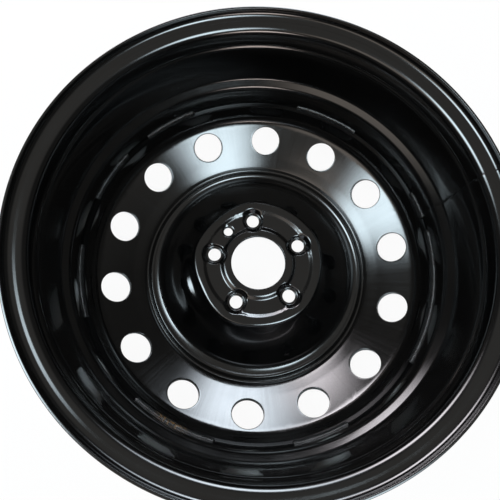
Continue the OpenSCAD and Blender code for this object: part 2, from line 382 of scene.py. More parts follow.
def build_rim(sizes, material):
    """The rolled hoop: an outline turned round the axis, with its seam, worn edge and valve hole."""
    near = rim_line(sizes)
    outline = near + far_corners(near, sizes.gauge)[::-1]
    ends = (0, len(near) - 1, len(near), len(outline) - 1)
    outline = [(r, z, sizes.edge_radius if i in ends else b) for i, (r, z, b) in enumerate(outline)]
    profile = np.array(spread(rounded(outline, 10.0, closed=True), 12 * MM, closed=True))
    columns = rim_columns(sizes)
    rows, count = len(profile), len(columns)
    radius = np.repeat(profile[:, :1], count, axis=1)
    height = np.repeat(profile[:, 1:], count, axis=1)
    radius = radius + seam_shift(sizes, columns, radius)
    edge_depth, chip_depth = 1.6 * MM, 0.2 * MM
    at_edge = np.clip((radius - sizes.lip_radius + edge_depth) / edge_depth, 0, 1)
    chips = np.clip(wander(columns, 41, 30, 20) - 0.95, 0, 1) * chip_depth
    radius = radius - at_edge * chips
    points = np.stack((radius * np.cos(columns), radius * np.sin(columns), height), axis=-1)
    points = points.reshape(-1, 3)
    valve = valve_axis(sizes)
    inside, ring_faces, ring_points = valve_cut(rows, count, points, valve, sizes.valve_radius)
    faces = []
    for i in range(rows):
        down = (i + 1) % rows
        for j in range(count):
            if (i, j) in inside:
                continue
            k = (j + 1) % count
            faces.append((i * count + j, i * count + k, down * count + k, down * count + j))
    points = np.concatenate((points, ring_points))
    return add_piece("rolled_rim", points, faces + ring_faces, material, "rim")


def seam_shift(sizes, columns, radius):
    """Step and low ridge of the butt seam, which fade out towards the lips."""
    well_radius = 212 * MM
    step_width, step_reach = 0.25 * MM, 22 * MM
    ridge_height, ridge_width = 0.12 * MM, 1.6 * MM
    along = turn_from(columns, sizes.seam_angle) * well_radius
    step = sizes.seam_step * np.tanh(along / step_width) * np.exp(-np.abs(along) / step_reach)
    ridge = ridge_height * bump_shape(along, ridge_width)
    fade = np.clip((sizes.lip_radius - 1.2 * MM - radius) / (8 * MM), 0, 1)
    return fade * (step - ridge)


def valve_axis(sizes):
    """Middle of the valve hole in the outboard ramp and the way it points, towards the hub side."""
    near = rim_line(sizes)
    foot, barrel = np.array(near[8][:2]), np.array(near[9][:2])
    along = unit(foot - barrel)
    middle = (foot + barrel) / 2 + right_of(along) * sizes.gauge / 2
    out = right_of(along)
    c, s = math.cos(sizes.valve_angle), math.sin(sizes.valve_angle)
    return Vector((middle[0] * c, middle[0] * s, middle[1])), Vector((out[0] * c, out[0] * s, out[1]))


def valve_cut(rows, count, points, valve, radius):
    """Faces left out round the valve hole on both sides of the sheet, and the wall that joins them."""
    centre, out = np.array(valve[0]), np.array(valve[1])
    grid = points.reshape(rows, count, 3)
    pairs = grid + np.roll(grid, -1, 1)
    middles = (pairs + np.roll(pairs, -1, 0)) / 4
    offset = middles - centre
    depth = offset @ out
    side = np.linalg.norm(offset - depth[..., None] * out, axis=-1)
    hit = (side < radius * 1.35) & (np.abs(depth) < 6 * MM)
    inside = {(int(i), int(j)) for i, j in zip(*np.nonzero(hit))}
    edges = {}
    for i, j in inside:
        down, k = (i + 1) % rows, (j + 1) % count
        ring = (i * count + j, i * count + k, down * count + k, down * count + j)
        for a, b in zip(ring, ring[1:] + ring[:1]):
            if (b, a) in edges:
                del edges[(b, a)]
            else:
                edges[(a, b)] = True
    loops = []
    follow = dict(edges.keys())
    while follow:
        start, here = follow.popitem()
        loop = [start]
        while here != start:
            loop.append(here)
            here = follow.pop(here)
        loops.append(loop)
    if len(loops) != 2:
        raise RuntimeError("the valve hole needs one opening on each side of the sheet")
    across = unit(np.cross(out, (0.0, 0.0, 1.0)))
    upward = np.cross(out, across)
    new_points, new_faces, rims = [], [], []
    for loop in loops:
        places = points[loop]
        shift = places - centre
        turn = np.arctan2(shift @ upward, shift @ across)
        level = float(np.mean(shift @ out))
        ring_ids = []
        for t in turn:
            at = centre + radius * (math.cos(t) * across + math.sin(t) * upward) + level * out
            ring_ids.append(len(points) + len(new_points))
            new_points.append(at)
        for m in range(len(loop)):
            n = (m + 1) % len(loop)
            new_faces.append((loop[m], loop[n], ring_ids[n], ring_ids[m]))
        rims.append((ring_ids, turn))
    first, second = rims
    order_a = sorted(zip(first[1], first[0]))
    order_b = sorted(zip(second[1], second[0]))
    new_faces.extend(stitch(order_a, order_b))
    return inside, new_faces, np.array(new_points)


def stitch(ring_a, ring_b):
    """Triangles between two rings of (angle, vertex), both in order of angle."""
    faces, i, j = [], 0, 0
    n, m = len(ring_a), len(ring_b)
    while i < n or j < m:
        a, b = ring_a[i % n][1], ring_b[j % m][1]
        angle_a = ring_a[(i + 1) % n][0] + (2 * math.pi if i + 1 >= n else 0)
        angle_b = ring_b[(j + 1) % m][0] + (2 * math.pi if j + 1 >= m else 0)
        if j >= m or (i < n and angle_a <= angle_b):
            faces.append((a, ring_a[(i + 1) % n][1], b))
            i += 1
        else:
            faces.append((a, ring_b[(j + 1) % m][1], b))
            j += 1
    return faces


def disc_line(sizes):
    """Corners (radius, height, bend) of the inboard face of the disc, from the bore outwards."""
    hub, half_run = sizes.hub_height, sizes.channel_run / 2
    floor = hub - sizes.channel_depth
    channel_in = sizes.bore_radius + 10.7 * MM
    channel_out = sizes.pad_radius - 11.6 * MM
    # A place on the bowl's flank, which is straight there
    flank, flank_z = 97 * MM, hub - 19.5 * MM
    bowl, bowl_z = sizes.bowl_radius, hub - sizes.bowl_depth
    crown, crown_z = sizes.crown_radius, hub - sizes.crown_depth
    ridge, ridge_z = sizes.ridge_radius, hub - sizes.ridge_depth
    crease = 12 * MM
    crease_z = ridge_z + crease * math.tan(sizes.vent_slope - math.radians(1))
    wall = sizes.skirt_radius - sizes.gauge
    return [
        (sizes.bore_radius - 1 * MM, hub, 0.0),
        (channel_in - half_run, hub, 7 * MM),
        (channel_in + half_run, floor, 4 * MM),
        (channel_out - half_run, floor, 4 * MM),
        (channel_out + half_run, hub, 6 * MM),
        (sizes.pad_radius, hub, 6 * MM),
        (flank, flank_z, 0.0),
        (bowl, bowl_z, 18 * MM),
        (crown - 4.4 * MM, bowl_z - 0.4 * MM, 3 * MM),
        (crown, crown_z, 3.5 * MM),
        (crown + 4.3 * MM, crown_z - 6.2 * MM, 2.5 * MM),
        (ridge, ridge_z, 5 * MM),
        (ridge + crease, crease_z, 10 * MM),
        (wall, ridge_z + (wall - ridge) * math.tan(sizes.vent_slope), 18 * MM),
        (wall, sizes.skirt_top, 0.0),
    ]


class Sheet:
    """Heights of the two faces of the pressed disc at any place, with its lobes, shoulder and cups."""

    def __init__(self, sizes):
        self.sizes = sizes
        line = disc_line(sizes)
        self.near = np.array(rounded(line, 6.0))
        self.far = np.array(rounded(far_corners(line, sizes.gauge), 8.0))
        self.lugs = [sizes.lug_angle + k * math.tau / LUGS for k in range(LUGS)]
        self.pin = sizes.lug_angle + math.pi / LUGS
        hub, gauge, circle = sizes.hub_height, sizes.gauge, sizes.lug_circle
        cups = [(a, sizes.cup_floor, sizes.cup_radius, sizes.cup_depth) for a in self.lugs]
        cups.append((self.pin, sizes.pin_floor, sizes.pin_cup, sizes.pin_depth))
        self.cups = []
        for a, floor, mouth, depth in cups:
            run = mouth - floor
            back_depth = depth + (gauge - sizes.channel_depth) / 2
            front = (floor, hub - depth, depth / run)
            back = (floor + gauge / 2, hub - depth - gauge, back_depth / run)
            self.cups.append(((circle * math.cos(a), circle * math.sin(a)), front, back))

    def pad_shift(self, angles):
        """How far the pad edge stands out beside the lug holes, and in between them."""
        shift = np.zeros_like(angles)
        for a in self.lugs:
            shift += self.sizes.pad_lobe * bump_shape(turn_from(angles, a), math.radians(13))
        for k, part in enumerate((0.9, 1.0, 0.35, 0.25, 0.15)):
            middle = self.pin + k * math.tau / LUGS
            shift -= self.sizes.pad_flat * part * bump_shape(turn_from(angles, middle), math.radians(16))
        return shift

    def shoulder(self, radii, angles):
        """Rise of the shallow shoulder on the bowl's flank, which fades out on all sides."""
        inner, outer = 80.5 * MM, 108 * MM
        rise = np.clip((radii - inner) / (11 * MM), 0, 1) * np.clip((outer - radii) / (15 * MM), 0, 1)
        rise = rise * rise * (3 - 2 * rise)
        aside = turn_from(angles, self.sizes.shoulder_angle)
        return self.sizes.shoulder * rise * bump_shape(aside, math.radians(18))

    def heights(self, radii, angles, near):
        """Heights of one face at these places."""
        line = self.near if near else self.far
        rising = np.concatenate(([True], np.diff(np.maximum.accumulate(line[:, 0])) > 1e-9))
        moved = radii - self.pad_shift(angles) * bump_shape(radii - self.sizes.pad_radius, 9 * MM)
        z = np.interp(moved, line[rising, 0], line[rising, 1]) + self.shoulder(radii, angles)
        x, y = radii * np.cos(angles), radii * np.sin(angles)
        for place, front, back in self.cups:
            floor, floor_z, rise = front if near else back
            gap = np.hypot(x - place[0], y - place[1])
            cup = floor_z + np.maximum(gap - floor, 0) * rise
            h = np.clip(0.5 + 0.5 * (cup - z) / CUP_BLEND, 0, 1)
            z = cup * (1 - h) + z * h - CUP_BLEND * h * (1 - h)
        return z


class DiscMesh:
    """Collects the points and faces of the disc: rings of columns, with a patch round each hole."""

    def __init__(self, sizes):
        self.sheet = Sheet(sizes)
        self.points, self.faces = [], []
        pitch = math.tau / DISC_COLUMNS
        pad_start = sizes.lug_angle - math.pi / (2 * LUGS)
        vent_start = sizes.vent_angle - math.pi / VENTS
        slip = (vent_start - pad_start) % pitch
        self.slip = slip - pitch if slip > pitch / 2 else slip
        self.pad_columns = pad_start + np.arange(DISC_COLUMNS) * pitch
        self.vent_first = round(((vent_start - pad_start - self.slip) % math.tau) / pitch) % DISC_COLUMNS

    def column_angles(self, radius):
        """Angles of the columns at a radius. They shift a little between the pad and the vents."""
        low, high = 80 * MM, 122 * MM
        t = min(1.0, max(0.0, (radius - low) / (high - low)))
        return self.pad_columns + self.slip * t * t * (3 - 2 * t)

    def add(self, radii, angles, heights):
        """New points, and their numbers."""
        first = len(self.points)
        self.points.extend(zip(radii * np.cos(angles), radii * np.sin(angles), heights))
        return list(range(first, len(self.points)))

    def ring(self, radius, near, z=None):
        """A ring of points on one face, or at a given height."""
        angles = self.column_angles(radius)
        radii = np.full(DISC_COLUMNS, radius)
        heights = self.sheet.heights(radii, angles, near) if z is None else np.full(DISC_COLUMNS, z)
        return self.add(radii, angles, heights)

    def join(self, inner, outer, flip, skip=()):
        """Faces between two rings. A column in skip is left open."""
        count = len(inner)
        for j in range(count):
            if j in skip:
                continue
            k = (j + 1) % count
            face = (inner[j], outer[j], outer[k], inner[k])
            self.faces.append(face[::-1] if flip else face)

    def onward(self, last, places, near):
        """Rings joined one after another: outwards on the near face, inwards on the far one."""
        for radius, z in places:
            ring = self.ring(radius, near, z)
            if near:
                self.join(last, ring, False)
            else:
                self.join(ring, last, True)
            last = ring
        return last

    def zone(self, radii, sectors, near, layers):
        """A band of rings with holes in some sectors. Returns its end rings and the holes' loops."""
        rings = [self.ring(r, near) for r in radii]
        open_columns = set()
        for first, width, _ in sectors:
            open_columns.update((first + n) % DISC_COLUMNS for n in range(width))
        for inner, outer in zip(rings, rings[1:]):
            self.join(inner, outer, not near, open_columns)
        return rings[0], rings[-1], [self.patch(rings, *sector, near, layers) for sector in sectors]

    def patch(self, rings, first, width, hole, near, layers):
        """Faces from the border of a sector to the hole in it. The hole's edge is rounded."""
        last = (first + width) % DISC_COLUMNS
        columns = [(first + n) % DISC_COLUMNS for n in range(width + 1)]
        border = [ring[first] for ring in rings[:-1]]
        border += [rings[-1][j] for j in columns[:-1]]
        border += [ring[last] for ring in rings[:0:-1]]
        border += [rings[0][j] for j in columns[:0:-1]]
        places = np.array([self.points[i] for i in border])
        centre_r, centre_a, squash, radius, edge = hole
        c, s = math.cos(centre_a), math.sin(centre_a)
        out = places[:, 0] * c + places[:, 1] * s - centre_r
        side = -places[:, 0] * s + places[:, 1] * c
        turn = np.arctan2(side, out / squash)
        round_out, round_side = np.cos(turn) * squash, np.sin(turn)
        start_out, start_side = (radius + edge) * round_out, (radius + edge) * round_side
        steps = [(start_out + (out - start_out) * t, start_side + (side - start_side) * t, 0.0)
                 for t in layers]
        down = -edge if near else edge
        for grow, sink in HOLE_EDGE:
            r = radius + edge * grow
            steps.append((r * round_out, r * round_side, down * sink))
        loop = border
        for step_out, step_side, lift in steps:
            radii = np.hypot(centre_r + step_out, step_side)
            angles = centre_a + np.arctan2(step_side, centre_r + step_out)
            inner = self.add(radii, angles, self.sheet.heights(radii, angles, near) + lift)
            self.join(inner, loop, not near)
            loop = inner
        return loop


def hole_sectors(sizes, vent_first):
    """Sectors of columns for the holes of both faces: the first column, their number and the hole.

    Each hole is the radius and angle of its place, its squash, its own radius and its edge.
    """
    lugs, lug_backs, vents, vent_backs = [], [], [], []
    width = DISC_COLUMNS // (2 * LUGS)
    for k in (0, 1, 2, 4, 6, 8):
        place = sizes.lug_angle + k * math.pi / LUGS
        front = sizes.pin_radius if k == 1 else sizes.lug_radius
        back = sizes.pin_radius if k == 1 else sizes.lug_seat
        lugs.append((k * width, width, (sizes.lug_circle, place, 1.0, front, 1.2 * MM)))
        lug_backs.append((k * width, width, (sizes.lug_circle, place, 1.0, back, 0.5 * MM)))
    width = DISC_COLUMNS // VENTS
    tilt = math.cos(sizes.vent_slope)
    back_circle = sizes.vent_circle + sizes.gauge * math.sin(sizes.vent_slope)
    for k in range(VENTS):
        first = (vent_first + k * width) % DISC_COLUMNS
        place = sizes.vent_angle + k * math.tau / VENTS
        for circle, holes in ((sizes.vent_circle, vents), (back_circle, vent_backs)):
            holes.append((first, width, (circle, place, tilt, sizes.vent_radius, 0.7 * MM)))
    return lugs, lug_backs, vents, vent_backs


def between(line, low, high):
    """The points of a line between two radii, with its long steps divided."""
    return [p for p in spread(list(line), 5 * MM) if low < p[0] < high]


def skirt_places(sizes, near, far):
    """Places of the rings up the inside of the skirt, over its sheared end and down the outside."""
    inner, outer, top = near[-1][0], sizes.skirt_radius - 0.02 * MM, sizes.skirt_top
    bevel = top - sizes.skirt_bevel
    end = [(inner, bevel - 8 * MM, 0.0), (inner, bevel, 1.1 * MM),
           (outer - sizes.skirt_flat, top, 0.5 * MM), (outer, top, 0.2 * MM), (outer, top - 6 * MM, 0.0)]
    inside = [p for p in spread(list(near), 7 * MM)
              if p[0] > VENT_BAND[1] + 0.5 * MM and p[1] < bevel - 1.4 * MM]
    over = spread(rounded(end, 12.0)[1:-1], 1.2 * MM)
    outside = [(min(p[0], outer), p[1]) for p in reversed(spread(list(far), 7 * MM))
               if p[0] > VENT_BACK_BAND[1] + 0.8 * MM and p[1] < top - 1.2 * MM]
    return inside + over + outside


def build_disc(sizes, material):
    """The pressed disc: both faces, the bore, the holes and the skirt as one closed sheet."""
    mesh = DiscMesh(sizes)
    near, far = mesh.sheet.near, mesh.sheet.far
    hub, bore, edge = sizes.hub_height, sizes.bore_radius, sizes.bore_edge
    lower = hub - sizes.gauge
    lugs, lug_backs, vents, vent_backs = hole_sectors(sizes, mesh.vent_first)
    pad_in, pad_out = PAD_BAND
    pad_radii = [p[0] for p in between(near, pad_in + 1.5 * MM, pad_out - 1 * MM)]
    pad_radii = thin_out([pad_in] + pad_radii + [pad_out], 0.75 * MM)
    vent_radii = np.linspace(*VENT_BAND, VENT_RINGS)
    back_radii = np.linspace(*VENT_BACK_BAND, VENT_RINGS)

    bore_start = mesh.ring(bore, True, lower + 0.8 * MM)
    last = mesh.onward(bore_start, (
        (bore, hub - 1.4 * MM),
        (bore, hub - edge - 0.1 * MM),
        (bore + 0.12 * MM, hub - edge + 0.12 * MM),
        (bore + edge - 0.12 * MM, hub - 0.12 * MM),
        (bore + edge + 0.15 * MM, hub),
        (bore + 2 * MM, None),
    ), True)
    first, pad_end, lug_loops = mesh.zone(pad_radii, lugs, True, LUG_LOOPS)
    mesh.join(last, first, False)
    rows = between(near, pad_out + 0.8 * MM, VENT_BAND[0] - 1 * MM)
    last = mesh.onward(pad_end, [(p[0], None) for p in rows], True)
    first, face_end, vent_loops = mesh.zone(vent_radii, vents, True, VENT_LOOPS)
    mesh.join(last, first, False)
    skirt_end = mesh.onward(face_end, skirt_places(sizes, near, far), True)

    first, last, vent_back_loops = mesh.zone(back_radii, vent_backs, False, VENT_BACK_LOOPS)
    mesh.join(last, skirt_end, True)
    rows = between(far, pad_out + 1.5 * MM, VENT_BACK_BAND[0] - 1.5 * MM)
    rows = thin_rows(rows, 2.2 * MM)
    bowl_end = mesh.onward(first, [(p[0], None) for p in reversed(rows)], False)
    first, last, lug_back_loops = mesh.zone(pad_radii, lug_backs, False, LUG_BACK_LOOPS)
    mesh.join(last, bowl_end, True)
    last = mesh.onward(first, (
        (bore + 2 * MM, None), (bore + 0.8 * MM, None), (bore + 0.2 * MM, lower + 0.2 * MM)), False)
    mesh.join(bore_start, last, True)

    for a, b in zip(vent_loops, vent_back_loops):
        mesh.join(b, a, False)
    for (_, _, hole), a, b in zip(lugs, lug_loops, lug_back_loops):
        if hole[3] > sizes.pin_radius:
            x, y, _ = np.array([mesh.points[i] for i in a]).T
            middle = mesh.add(np.hypot(x, y), np.arctan2(y, x), np.full(len(a), hub - 6.6 * MM))
            mesh.join(middle, a, False)
            a = middle
        mesh.join(b, a, False)
    return add_piece("pressed_disc", mesh.points, mesh.faces, material, "disc")


def thin_out(values, least):
    """The same rising values without those that come too close after another."""
    kept = [values[0]]
    for v in values[1:-1]:
        if v - kept[-1] >= least and values[-1] - v >= least:
            kept.append(v)
    return kept + [values[-1]]


def thin_rows(rows, least):
    """The same points without those that come too close after another."""
    kept = [rows[0]]
    for p in rows[1:]:
        if np.linalg.norm(p - kept[-1]) >= least:
            kept.append(p)
    return kept


def build_weld(number, run, sizes, disc, material):
    """One rippled bead in the corner between the sheared end of the skirt and the well."""
    start, span = math.radians(run[0]), math.radians(run[1])
    well, top = disc.skirt_radius, disc.skirt_top
    corner = np.array((well, top))
    flat, inner = well - disc.skirt_flat, well - disc.gauge
    toe_r = inner + 0.5 * MM
    toe_z = top - disc.skirt_bevel * (flat - toe_r) / (flat - inner)
    reach = span * well
    spacing, lump_spacing, end_length = 0.4 * MM, 2.6 * MM, 4 * MM
    count = max(24, round(reach / spacing))
    draws = np.random.default_rng(700 + number)
    t = np.linspace(0, 1, count + 1)
    s = t * reach
    ends = np.clip(np.minimum(s, reach - s) / end_length, 0, 1)
    ends = 0.3 + 0.7 * np.sqrt(1 - (1 - ends) ** 2)
    knots = max(8, int(reach / lump_spacing))
    slow = np.interp(s, np.linspace(0, reach, 9), draws.uniform(-1, 1, 9))
    quick = np.interp(s, np.linspace(0, reach, knots), draws.uniform(-1, 1, knots))
    lumps = np.interp(s, np.linspace(0, reach, knots * 2), draws.uniform(0, 1, knots * 2) ** 3)
    size = ends * (0.86 + 0.07 * slow + 0.06 * quick)
    calm = np.zeros_like(s)
    if number == 1:
        # The longest bead has one thick and smoother stretch, from -16 to 0 degrees
        place = np.degrees(start + t * span)
        calm = np.clip(np.minimum(place + 16.0, -place) / 2.5, 0, 1)
        size = size + 0.24 * calm
    arc = np.linspace(0, math.pi / 2, 13)
    base_r = well - (well - toe_r) * np.cos(arc)
    base_z = toe_z + (top + sizes.leg - toe_z) * np.sin(arc)
    arms = np.stack((base_r, base_z), -1) - corner
    outward = arms / np.linalg.norm(arms, axis=1)[:, None]
    swell = np.sin(2 * arc) ** 0.7
    drift = np.cumsum(1 + 0.3 * quick * (1 - calm)) * (s[1] - s[0])
    lag = 0.9 * MM * np.sin(2 * arc)
    lump_height = 0.45 * MM
    points, faces = [], []
    ring = len(arc) + 1
    for i, a in enumerate(start + t * span):
        wave = np.abs(np.sin(math.pi * (drift[i] - lag) / sizes.pitch)) ** 0.8 - 0.6
        lift = sizes.ripple * wave * (1 - 0.35 * calm[i]) + lump_height * lumps[i] * (1 - calm[i])
        section = corner + arms * size[i] + outward * (lift * swell * ends[i])[:, None]
        section[0] += (0.1 * MM, -0.15 * MM)
        section[-1][0] = well + 0.15 * MM
        section = np.concatenate((section, [corner + (0.15 * MM, -0.2 * MM)]))
        points.extend((q * math.cos(a), q * math.sin(a), h) for q, h in section)
    for i in range(count):
        for k in range(ring):
            n = (k + 1) % ring
            a, b = i * ring, (i + 1) * ring
            faces.append((a + k, b + k, b + n, a + n))
    faces.append(tuple(range(ring)))
    faces.append(tuple(count * ring + k for k in reversed(range(ring))))
    return add_piece("weld_bead_%d" % number, points, faces, material, "weld_%d" % number)


# Materials

class Graph:
    """Short ways to add nodes to a material, a lamp or the room, and to join them."""

    def __init__(self, owner):
        owner.use_nodes = True
        self.owner = owner
        self.tree = owner.node_tree
        self.tree.nodes.clear()

    def add(self, kind, inputs=None, **settings):
        node = self.tree.nodes.new(kind)
        for key, value in settings.items():
            setattr(node, key, value)
        for key, value in (inputs or {}).items():
            self.feed(node.inputs[key], value)
        return node

    def feed(self, socket, value):
        """Gives a socket a link or a plain value."""
        if isinstance(value, bpy.types.NodeSocket):
            self.tree.links.new(value, socket)
        else:
            socket.default_value = value

    def math(self, operation, *values, clamp=False):
        node = self.add("ShaderNodeMath", operation=operation, use_clamp=clamp)
        for socket, value in zip(node.inputs, values):
            self.feed(socket, value)
        return node.outputs[0]

    def times(self, a, b, clamp=False):
        return self.math("MULTIPLY", a, b, clamp=clamp)

    def plus(self, a, b, clamp=False):
        return self.math("ADD", a, b, clamp=clamp)

    def noise(self, place, scale, detail=2.0, rough=0.5):
        node = self.add("ShaderNodeTexNoise", {
            "Vector": place, "Scale": scale, "Detail": detail, "Roughness": rough})
        return node.outputs["Fac"]

    def ramp(self, value, low, high, bottom=0.0, top=1.0, smooth=False):
        node = self.add("ShaderNodeMapRange", {
            "Value": value, "From Min": low, "From Max": high, "To Min": bottom, "To Max": top,
        }, interpolation_type="SMOOTHSTEP" if smooth else "LINEAR")
        return node.outputs["Result"]

    def mix(self, share_in, first, second):
        node = self.add("ShaderNodeMix", {"Factor": share_in, "A": first, "B": second}, data_type="RGBA")
        return node.outputs["Result"]

    def vector(self, x, y, z):
        return self.add("ShaderNodeCombineXYZ", {"X": x, "Y": y, "Z": z}).outputs[0]

    def reach(self, vector):
        """The length of a vector."""
        return self.add("ShaderNodeVectorMath", {0: vector}, operation="LENGTH").outputs["Value"]


def four(colour):
    """A colour with full cover."""
    return (colour[0], colour[1], colour[2], 1.0)


class PaintGraph(Graph):
    """A black dip coat over steel, laid out round the axis of the wheel."""

    def __init__(self, name):
        super().__init__(bpy.data.materials.new(name))
        self.place = self.add("ShaderNodeTexCoord").outputs["Object"]
        split = self.add("ShaderNodeSeparateXYZ", {"Vector": self.place})
        self.x, self.y, self.z = split.outputs
        self.radius = self.reach(self.vector(self.x, self.y, 0.0))
        self.turn = self.math("ARCTAN2", self.y, self.x)
        normal = self.add("ShaderNodeNewGeometry").outputs["Normal"]
        self.up = self.add("ShaderNodeSeparateXYZ", {"Vector": normal}).outputs["Z"]

    def toward(self, degrees):
        """1 at a place round the axis, falling to -1 opposite."""
        return self.math("COSINE", self.math("SUBTRACT", self.turn, math.radians(degrees)))

    def round_lines(self, across, along):
        """Noise drawn out round the axis, as turning and rolling leave it."""
        place = self.vector(
            self.times(self.radius, across), self.times(self.z, across), self.times(self.turn, along))
        return self.noise(place, 1.0, 3.0, 0.6)

    def draw_lines(self, around, along):
        """Noise drawn out from the hub to the rim, as pressing leaves it."""
        c = self.math("DIVIDE", self.x, self.radius)
        s = self.math("DIVIDE", self.y, self.radius)
        place = self.vector(self.times(c, around), self.times(s, around), self.times(self.radius, along))
        return self.noise(place, 1.0, 3.0, 0.55)

    def bump(self, height, strength, distance, before=None):
        inputs = {"Height": height, "Strength": strength, "Distance": distance}
        if before is not None:
            inputs["Normal"] = before
        return self.add("ShaderNodeBump", inputs).outputs["Normal"]

    def finish(self, looks, colour, roughness, normal, shine=None):
        """The paint with its smooth top layer. Where shine is given, it dulls both."""
        gloss, reflection = looks.gloss, looks.reflection
        if shine is not None:
            gloss, reflection = self.times(shine, gloss), self.times(shine, reflection)
        shader = self.add("ShaderNodeBsdfPrincipled", {
            "Base Color": colour, "Roughness": roughness, "Normal": normal,
            "Specular IOR Level": reflection, "Coat Weight": gloss,
            "Coat Roughness": looks.gloss_roughness, "Coat IOR": 1.5})
        self.add("ShaderNodeOutputMaterial", {"Surface": shader.outputs[0]}, is_active_output=True)
        return self.owner


def dusted(graph, looks, amount):
    """Paint colour with soft clouds and a thin, patchy dust on what faces up."""
    cloud = graph.noise(graph.place, 14.0, 4.0, 0.55)
    specks = graph.ramp(graph.noise(graph.place, 620.0, 2.0, 0.6), 0.69, 0.75)
    patch = graph.ramp(graph.noise(graph.place, 31.0, 3.0, 0.6), 0.48, 0.72)
    shade = graph.ramp(cloud, 0.3, 0.7, 0.82, 1.18)
    base = graph.add("ShaderNodeVectorMath", {0: looks.paint, "Scale": shade}, operation="SCALE")
    lying = graph.ramp(graph.up, 0.1, 0.9)
    grit = graph.times(graph.times(specks, patch), 0.55)
    film = graph.times(graph.plus(graph.times(patch, 0.05), 0.02), lying)
    cover = graph.times(graph.plus(film, grit), amount, clamp=True)
    return graph.mix(cover, base.outputs["Vector"], four(looks.dust)), cloud, cover


def rim_paint(looks, sizes):
    """Black paint on the rolled hoop, with rolling lines, dust, and pale lip edges that are partly
    scuffs and partly a painted highlight towards 207 degrees.
    """
    graph = PaintGraph("rim_dip_coat")
    colour, cloud, cover = dusted(graph, looks, 0.2)
    lines = graph.round_lines(1500.0, 1.5)
    edge_r = graph.ramp(graph.radius, sizes.lip_radius - 1.5 * MM, sizes.lip_radius - 0.5 * MM)
    middle = sizes.height / 2
    from_middle = graph.math("ABSOLUTE", graph.math("SUBTRACT", graph.z, middle))
    edge_z = graph.ramp(from_middle, middle - 7 * MM, middle - 1.5 * MM)
    rub = graph.ramp(graph.noise(graph.place, 34.0, 3.0, 0.6), 0.52, 0.66)
    nick = graph.ramp(graph.noise(graph.place, 260.0, 3.0, 0.65), 0.5, 0.62)
    # The pale edge is painted about eight times stronger towards 207 degrees round the axis: on that
    # side it is a painted highlight as well as wear
    side = graph.ramp(graph.toward(207), 0.55, 0.97, 0.12, 1.0)
    scuff_and_sheen = graph.times(graph.times(edge_r, edge_z), graph.times(rub, nick))
    scuff_and_sheen = graph.times(scuff_and_sheen, side, clamp=True)
    # Lays the pale colour on the scuffs and on the painted highlight of the lip edge
    colour = graph.mix(scuff_and_sheen, colour, four(looks.bare_and_sheen))
    rough = graph.ramp(cloud, 0.3, 0.7, looks.roughness - 0.05, looks.roughness + 0.06)
    rough = graph.plus(rough, graph.times(cover, 0.5))
    rough = graph.plus(rough, graph.ramp(lines, 0.35, 0.65, -0.025, 0.025), clamp=True)
    normal = graph.bump(graph.noise(graph.place, 520.0), looks.peel * 0.5, 0.12 * MM)
    normal = graph.bump(lines, 0.22, 0.06 * MM, normal)
    normal = graph.bump(nick, graph.times(scuff_and_sheen, 0.6), 0.2 * MM, normal)
    return graph.finish(looks, colour, rough, normal)


def disc_paint(looks, sizes):
    """Black paint on the pressed disc, with draw marks from the hub outwards and a dull sheared end."""
    graph = PaintGraph("disc_dip_coat")
    colour, cloud, cover = dusted(graph, looks, 0.12)
    marks = graph.draw_lines(170.0, 9.0)
    on_face = graph.ramp(graph.radius, sizes.pad_radius, sizes.pad_radius + 20 * MM, 0.25, 1.0)
    end_z, end_r = sizes.skirt_top - 3.2 * MM, sizes.skirt_radius - 4.6 * MM
    high = graph.ramp(graph.z, end_z - 1 * MM, end_z)
    sheared = graph.times(high, graph.ramp(graph.radius, end_r - 0.6 * MM, end_r))
    rough = graph.ramp(cloud, 0.3, 0.7, looks.roughness - 0.04, looks.roughness + 0.06)
    rough = graph.plus(rough, graph.times(cover, 0.5))
    streak = graph.times(graph.ramp(marks, 0.3, 0.7, -0.05, 0.05), on_face)
    rough = graph.plus(rough, streak, clamp=True)
    rough = graph.plus(rough, graph.times(sheared, 0.30), clamp=True)
    normal = graph.bump(graph.noise(graph.place, 560.0), looks.peel * 0.5, 0.12 * MM)
    normal = graph.bump(marks, graph.times(on_face, 0.30), 0.10 * MM, normal)
    normal = graph.bump(graph.draw_lines(230.0, 90.0), sheared, 4 * MM, normal)
    shine = graph.math("SUBTRACT", 1.0, graph.times(sheared, 0.85))
    return graph.finish(looks, colour, rough, normal, shine)


def weld_paint(looks):
    """The same paint over rough beads, thin on the crests, with small burnt spots on one of them."""
    graph = PaintGraph("weld_dip_coat")
    colour = dusted(graph, looks, 0.5)[0]
    grain = graph.noise(graph.place, 900.0, 3.0, 0.65)
    crest = graph.ramp(graph.noise(graph.place, 380.0, 2.0, 0.6), 0.55, 0.75, 0.0, 0.5)
    colour = graph.mix(crest, colour, four(looks.crest))
    near = graph.ramp(graph.toward(-118), math.cos(math.radians(6)), math.cos(math.radians(2)))
    spots = graph.ramp(graph.noise(graph.place, 420.0), 0.50, 0.62)
    colour = graph.mix(graph.times(near, spots), colour, four(looks.burnt))
    rough = graph.ramp(grain, 0.3, 0.7, 0.12, 0.32)
    normal = graph.bump(grain, 0.9, 0.7 * MM)
    return graph.finish(looks, colour, rough, normal)


